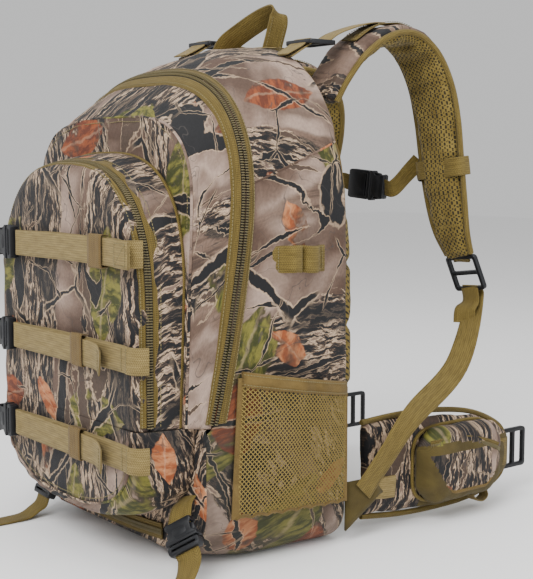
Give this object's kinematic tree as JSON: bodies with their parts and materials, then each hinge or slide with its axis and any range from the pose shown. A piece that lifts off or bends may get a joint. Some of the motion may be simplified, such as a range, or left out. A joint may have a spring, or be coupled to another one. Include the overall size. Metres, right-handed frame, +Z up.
{
  "type": "hunting backpack",
  "caption": "Hunting backpack with a clamshell main lid, strapped front pocket, net side pockets, padded back, shoulder straps and hip belt wings.",
  "frame": {"origin": "centre of the flat base that the pack stands on", "axes": "+Z up, -Y the front with the pocket, +Y the wearer's back, +X the wearer's right side"},
  "size_m": [0.3584, 0.5464, 0.5374],
  "materials": {
    "main_shell": "printed camouflage cloth",
    "lower_front": "printed camouflage cloth",
    "lid_gusset": "printed camouflage cloth",
    "lid_panel": "printed camouflage cloth",
    "pocket_gusset": "printed camouflage cloth",
    "pocket_face": "printed camouflage cloth",
    "belt_pouch_right": "printed camouflage cloth",
    "belt_pouch_left": "printed camouflage cloth",
    "main_zip_rear": "olive zip tape with a nylon coil",
    "main_zip_lid": "olive zip tape with a nylon coil",
    "pocket_zip_lid": "olive zip tape with a nylon coil",
    "pocket_zip_face": "olive zip tape with a nylon coil",
    "base_zip": "olive zip tape with a nylon coil",
    "back_pad_right": "olive air mesh over foam",
    "back_pad_left": "olive air mesh over foam",
    "lumbar_pad": "olive air mesh over foam",
    "shoulder_pad_right": "olive air mesh over foam",
    "shoulder_pad_left": "olive air mesh over foam",
    "side_net_right": "open olive net",
    "side_net_left": "open olive net",
    "side_loop_right": "olive webbing",
    "side_loop_left": "olive webbing",
    "base_strap_right": "olive webbing",
    "base_strap_left": "olive webbing",
    "lower_web_right": "olive webbing",
    "lower_web_left": "olive webbing",
    "rifle_strap_1": "olive webbing",
    "rifle_strap_2": "olive webbing",
    "rifle_strap_3": "olive webbing",
    "haul_handle": "olive webbing",
    "sternum_web_right": "olive webbing",
    "sternum_web_left": "olive webbing",
    "main_pull": "olive webbing",
    "pocket_pull": "olive webbing",
    "base_female_right": "moulded charcoal acetal",
    "base_female_left": "moulded charcoal acetal",
    "base_male_right": "moulded charcoal acetal",
    "base_male_left": "moulded charcoal acetal",
    "lifter_lock_right": "moulded charcoal acetal",
    "lifter_lock_left": "moulded charcoal acetal",
    "ladder_lock_right": "moulded charcoal acetal",
    "ladder_lock_left": "moulded charcoal acetal",
    "belt_lock_right": "moulded charcoal acetal",
    "belt_lock_left": "moulded charcoal acetal",
    "sternum_female": "moulded charcoal acetal",
    "sternum_male": "moulded charcoal acetal",
    "rifle_female_1": "moulded charcoal acetal",
    "rifle_female_2": "moulded charcoal acetal",
    "rifle_female_3": "moulded charcoal acetal",
    "rifle_male_1": "moulded charcoal acetal",
    "rifle_male_2": "moulded charcoal acetal",
    "rifle_male_3": "moulded charcoal acetal",
    "water_sleeve": "plain lining cloth",
    "frame_sheet": "polyethylene sheet",
    "stay_right": "bare aluminium bar",
    "stay_left": "bare aluminium bar",
    "main_slider": "coated zinc slider",
    "pocket_slider": "coated zinc slider",
    "belt_wing_right": "olive cloth",
    "belt_wing_left": "olive cloth"
  },
  "bodies": {
    "pack": {"main_shell": "main_shell", "lower_front": "lower_front", "main_zip_rear": "main_zip_rear", "frame_sheet": "frame_sheet", "stay_right": "stay_right", "stay_left": "stay_left", "water_sleeve": "water_sleeve", "back_pad_right": "back_pad_right", "back_pad_left": "back_pad_left", "lumbar_pad": "lumbar_pad", "side_net_right": "side_net_right", "side_net_left": "side_net_left", "side_loop_right": "side_loop_right", "side_loop_left": "side_loop_left", "base_zip": "base_zip", "base_female_right": "base_female_right", "base_female_left": "base_female_left", "base_strap_right": "base_strap_right", "base_strap_left": "base_strap_left", "lifter_lock_right": "lifter_lock_right", "lifter_lock_left": "lifter_lock_left", "lower_web_right": "lower_web_right", "lower_web_left": "lower_web_left", "rifle_strap_3": "rifle_strap_3", "rifle_female_3": "rifle_female_3"},
    "main_lid": {"lid_gusset": "lid_gusset", "lid_panel": "lid_panel", "main_zip_lid": "main_zip_lid", "pocket_gusset": "pocket_gusset", "pocket_zip_lid": "pocket_zip_lid"},
    "pocket_lid": {"pocket_face": "pocket_face", "pocket_zip_face": "pocket_zip_face", "rifle_strap_1": "rifle_strap_1", "rifle_strap_2": "rifle_strap_2", "rifle_female_1": "rifle_female_1", "rifle_female_2": "rifle_female_2"},
    "shoulder_right": {"shoulder_pad_right": "shoulder_pad_right", "sternum_web_right": "sternum_web_right", "sternum_female": "sternum_female"},
    "shoulder_left": {"shoulder_pad_left": "shoulder_pad_left", "sternum_web_left": "sternum_web_left"},
    "belt_right": {"belt_wing_right": "belt_wing_right", "belt_pouch_right": "belt_pouch_right"},
    "belt_left": {"belt_wing_left": "belt_wing_left", "belt_pouch_left": "belt_pouch_left"},
    "rifle_male_1": {"rifle_male_1": "rifle_male_1"},
    "rifle_male_2": {"rifle_male_2": "rifle_male_2"},
    "rifle_male_3": {"rifle_male_3": "rifle_male_3"},
    "base_male_right": {"base_male_right": "base_male_right"},
    "base_male_left": {"base_male_left": "base_male_left"},
    "main_slider": {"main_slider": "main_slider"},
    "main_pull": {"main_pull": "main_pull"},
    "pocket_slider": {"pocket_slider": "pocket_slider"},
    "pocket_pull": {"pocket_pull": "pocket_pull"},
    "haul_handle": {"haul_handle": "haul_handle"},
    "ladder_lock_right": {"ladder_lock_right": "ladder_lock_right"},
    "ladder_lock_left": {"ladder_lock_left": "ladder_lock_left"},
    "sternum_male": {"sternum_male": "sternum_male"},
    "belt_lock_right": {"belt_lock_right": "belt_lock_right"},
    "belt_lock_left": {"belt_lock_left": "belt_lock_left"}
  },
  "joints": [
    {"name": "main_lid_fold", "type": "hinge", "parent": "pack", "child": "main_lid", "pos_m": [0, -0.158, 0.135], "axis": [1, 0, 0], "range_deg": [0, 50]},
    {"name": "pocket_lid_fold", "type": "hinge", "parent": "main_lid", "child": "pocket_lid", "pos_m": [0, -0.158, 0.135], "axis": [1, 0, 0], "range_deg": [0, 45]},
    {"name": "rifle_buckle_1", "type": "slide", "parent": "pocket_lid", "child": "rifle_male_1", "axis": [1, 0, 0], "range_m": [0, 0.02], "deforming": ["rifle_strap_1"]},
    {"name": "rifle_buckle_2", "type": "slide", "parent": "pocket_lid", "child": "rifle_male_2", "axis": [1, 0, 0], "range_m": [0, 0.02], "deforming": ["rifle_strap_2"]},
    {"name": "rifle_buckle_3", "type": "slide", "parent": "pack", "child": "rifle_male_3", "axis": [1, 0, 0], "range_m": [0, 0.02], "deforming": ["rifle_strap_3"]},
    {"name": "base_buckle_right", "type": "slide", "parent": "pack", "child": "base_male_right", "axis": [0.6557, -0.1481, -0.7403], "range_m": [0, 0.012], "deforming": ["base_strap_right"]},
    {"name": "base_buckle_left", "type": "slide", "parent": "pack", "child": "base_male_left", "axis": [-0.0584, -0.3505, -0.9347], "range_m": [0, 0.012], "deforming": ["base_strap_left"]},
    {"name": "main_zip_run", "type": "slide", "parent": "pack", "child": "main_slider", "axis": [0, 0.2055, 0.9787], "range_m": [0, 0.085]},
    {"name": "main_pull_swing", "type": "hinge", "parent": "main_slider", "child": "main_pull", "pos_m": [-0.164, -0.0804, 0.177], "axis": [0, 1, 0], "range_deg": [0, 85]},
    {"name": "pocket_zip_run", "type": "slide", "parent": "main_lid", "child": "pocket_slider", "axis": [0, 0, 1], "range_m": [0, 0.045]},
    {"name": "pocket_pull_swing", "type": "hinge", "parent": "pocket_slider", "child": "pocket_pull", "pos_m": [-0.14, -0.14, 0.177], "axis": [0, 1, 0], "range_deg": [0, 85]},
    {"name": "haul_handle_tilt", "type": "hinge", "parent": "pack", "child": "haul_handle", "pos_m": [0, 0.084, 0.466], "axis": [1, 0, 0], "range_deg": [-60, 3], "stiffness_Nm_per_rad": 0.05},
    {"name": "shoulder_swing_right", "type": "hinge", "parent": "pack", "child": "shoulder_right", "pos_m": [0.08, 0.1, 0.44], "axis": [1, 0, 0], "range_deg": [-20, 18], "deforming": ["lower_web_right"]},
    {"name": "shoulder_swing_left", "type": "hinge", "parent": "pack", "child": "shoulder_left", "pos_m": [-0.08, 0.1, 0.44], "axis": [1, 0, 0], "range_deg": [-20, 18], "deforming": ["lower_web_left"]},
    {"name": "sternum_buckle", "type": "slide", "parent": "shoulder_left", "child": "sternum_male", "axis": [-0.9768, -0.1894, 0.0997], "range_m": [0, 0.012], "deforming": ["sternum_web_left"]},
    {"name": "ladder_lock_tilt_right", "type": "hinge", "parent": "shoulder_right", "child": "ladder_lock_right", "pos_m": [0.10473, 0.28183, 0.26287], "axis": [1, 0, 0], "range_deg": [-15, 15], "deforming": ["lower_web_right"]},
    {"name": "ladder_lock_tilt_left", "type": "hinge", "parent": "shoulder_left", "child": "ladder_lock_left", "pos_m": [-0.10473, 0.2182, 0.21535], "axis": [1, 0, 0], "range_deg": [-15, 15], "deforming": ["lower_web_left"]},
    {"name": "belt_swing_right", "type": "hinge", "parent": "pack", "child": "belt_right", "pos_m": [0.137, 0.1, 0.06], "axis": [0, 0, 1], "range_deg": [-12, 24]},
    {"name": "belt_lock_tilt_right", "type": "hinge", "parent": "belt_right", "child": "belt_lock_right", "pos_m": [0.133, 0.3255, 0.052], "axis": [0, 0, 1], "range_deg": [-25, 25]},
    {"name": "belt_swing_left", "type": "hinge", "parent": "pack", "child": "belt_left", "pos_m": [-0.137, 0.1, 0.06], "axis": [0, 0, -1], "range_deg": [-12, 24]},
    {"name": "belt_lock_tilt_left", "type": "hinge", "parent": "belt_left", "child": "belt_lock_left", "pos_m": [-0.133, 0.3255, 0.052], "axis": [0, 0, -1], "range_deg": [-25, 25]}
  ],
  "couplings": [
    {"joint": "shoulder_swing_left", "follows": "shoulder_swing_right", "ratio": 1}
  ]
}
